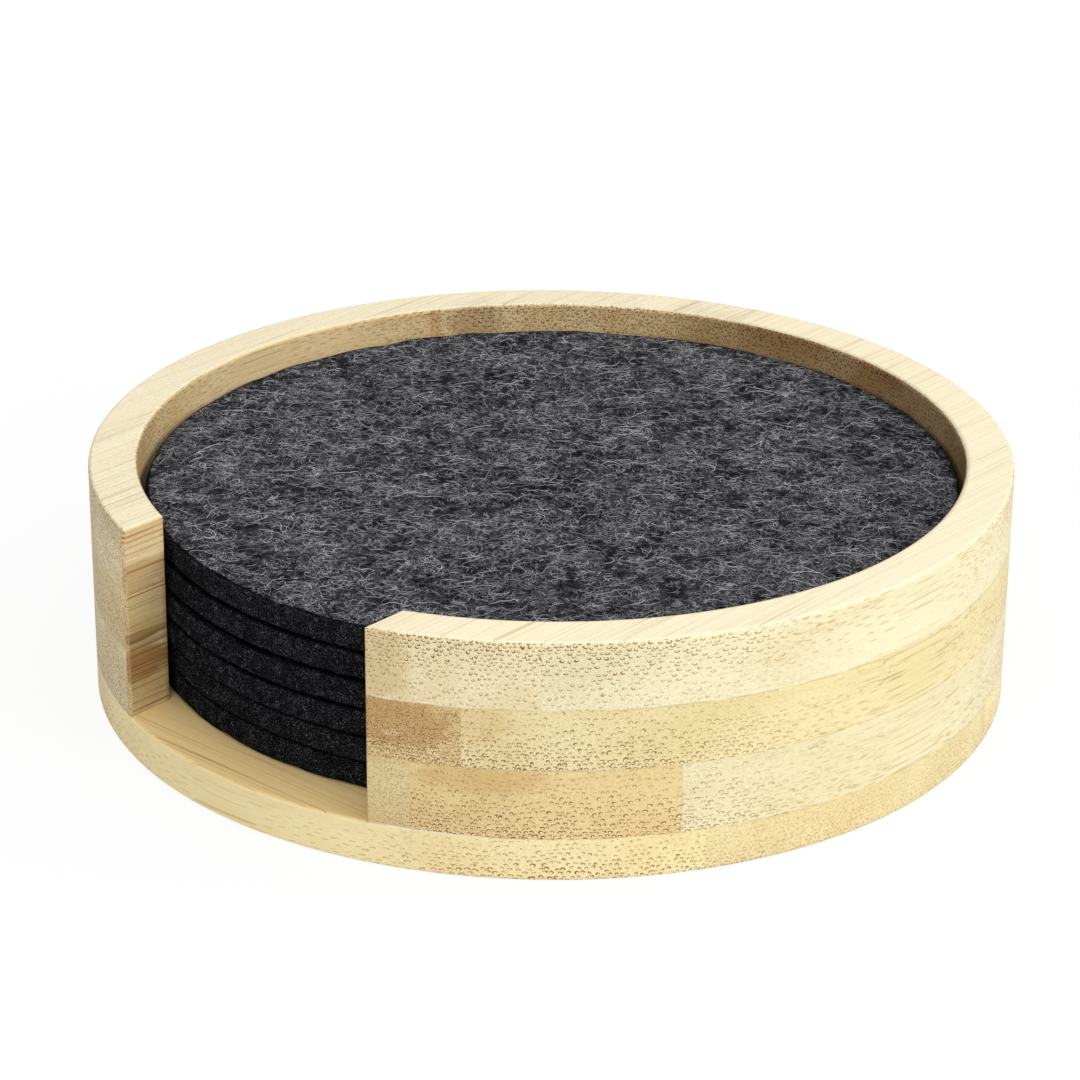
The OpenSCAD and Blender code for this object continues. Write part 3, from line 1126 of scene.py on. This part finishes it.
# Camera, fitted to the rims in the photograph: angles in degrees, lengths in outer radii
CAMERA_AZIMUTH = 41.34
CAMERA_ELEVATION = 25.7
CAMERA_ROLL = 0.395
CAMERA_DISTANCE = 8.113
CAMERA_AIM_SIDE = -0.0232
CAMERA_AIM_UP = 0.2975
CAMERA_LENS_MM = 121.19
CAMERA_SENSOR_MM = 36
# Nearest distance that the camera shows, in metres
CAMERA_CLIP = 0.01


def direction(azimuth, elevation):
    """The way from the set to a place; azimuth counts from the slot's side, to the right."""
    a, e = math.radians(azimuth), math.radians(elevation)
    return Vector((math.sin(a) * math.cos(e), -math.cos(a) * math.cos(e), math.sin(e)))


def make_floor():
    """A white floor that keeps a soft shadow round the set."""
    mesh = bpy.data.meshes.new("floor")
    signs = [(-1, -1), (1, -1), (1, 1), (-1, 1)]
    mesh.from_pydata([(FLOOR_HALF * x, FLOOR_HALF * y, 0) for x, y in signs], [], [(0, 1, 2, 3)])
    floor = bpy.data.objects.new("floor", mesh)
    scene.collection.objects.link(floor)
    material, g, shader = new_material("floor_white")
    shader.inputs["Base Color"].default_value = FLOOR_TONE
    shader.inputs["Roughness"].default_value = 1
    shader.inputs["Specular IOR Level"].default_value = 0
    white = g.add("ShaderNodeEmission", {"Color": WHITE, "Strength": 1})
    path = g.tree.nodes.new("ShaderNodeLightPath")
    seen = g.larger(path.outputs["Is Camera Ray"], path.outputs["Is Glossy Ray"])
    seen = g.larger(seen, path.outputs["Is Transmission Ray"])
    x, y, _ = g.split(g.object_mm())
    away = g.smooth(g.length2(x, y), SHADOW_NEAR / MM, SHADOW_FAR / MM)
    share = g.times(seen, g.between(away, *FLOOR_WHITE))
    blend = g.add("ShaderNodeMixShader", {0: share, 1: shader.outputs[0], 2: white})
    g.put(g.tree.nodes["Material Output"].inputs["Surface"], blend)
    mesh.materials.append(material)


def make_world():
    """A white surround that lights the set less than it shows."""
    world = bpy.data.worlds.new("studio")
    scene.world = world
    world.use_nodes = True
    g = Graph(world.node_tree)
    path = world.node_tree.nodes.new("ShaderNodeLightPath")
    seen = g.larger(path.outputs["Is Camera Ray"], path.outputs["Is Transmission Ray"])
    sky = world.node_tree.nodes["Background"]
    g.put(sky.inputs["Strength"], g.between(seen, WORLD_LEVEL, 1))
    sky.inputs["Color"].default_value = WHITE


def make_lamp(name, azimuth, elevation, distance, size, watts):
    """A soft square lamp aimed at the set."""
    away = direction(CAMERA_AZIMUTH + azimuth, elevation)
    data = bpy.data.lights.new(name, "AREA")
    data.shape = "SQUARE"
    data.size = size
    data.energy = watts
    lamp = bpy.data.objects.new(name, data)
    lamp.location = away * distance + Vector((0, 0, RIM_Z / 2))
    lamp.rotation_mode = "QUATERNION"
    lamp.rotation_quaternion = (-away).to_track_quat("-Z", "Y")
    scene.collection.objects.link(lamp)


def make_camera():
    """The camera of the photograph."""
    eye = direction(CAMERA_AZIMUTH, CAMERA_ELEVATION) * CAMERA_DISTANCE * OUTER_R
    sideways = direction(CAMERA_AZIMUTH + 90, 0)
    aim = (sideways * CAMERA_AIM_SIDE + Vector((0, 0, CAMERA_AIM_UP))) * OUTER_R
    ahead = (aim - eye).normalized()
    right = ahead.cross(Vector((0, 0, 1))).normalized()
    up = right.cross(ahead)
    roll = math.radians(CAMERA_ROLL)
    tilted_right = right * math.cos(roll) + up * math.sin(roll)
    tilted_up = up * math.cos(roll) - right * math.sin(roll)
    data = bpy.data.cameras.new("camera")
    data.sensor_width = CAMERA_SENSOR_MM
    data.lens = CAMERA_LENS_MM
    data.clip_start = CAMERA_CLIP
    camera = bpy.data.objects.new("camera", data)
    turn = Matrix((tilted_right, tilted_up, -ahead)).transposed().to_4x4()
    camera.matrix_world = Matrix.Translation(eye) @ turn
    scene.collection.objects.link(camera)
    scene.camera = camera


make_floor()
make_world()
for lamp_name, settings in LAMPS.items():
    make_lamp(lamp_name, *settings)
make_camera()
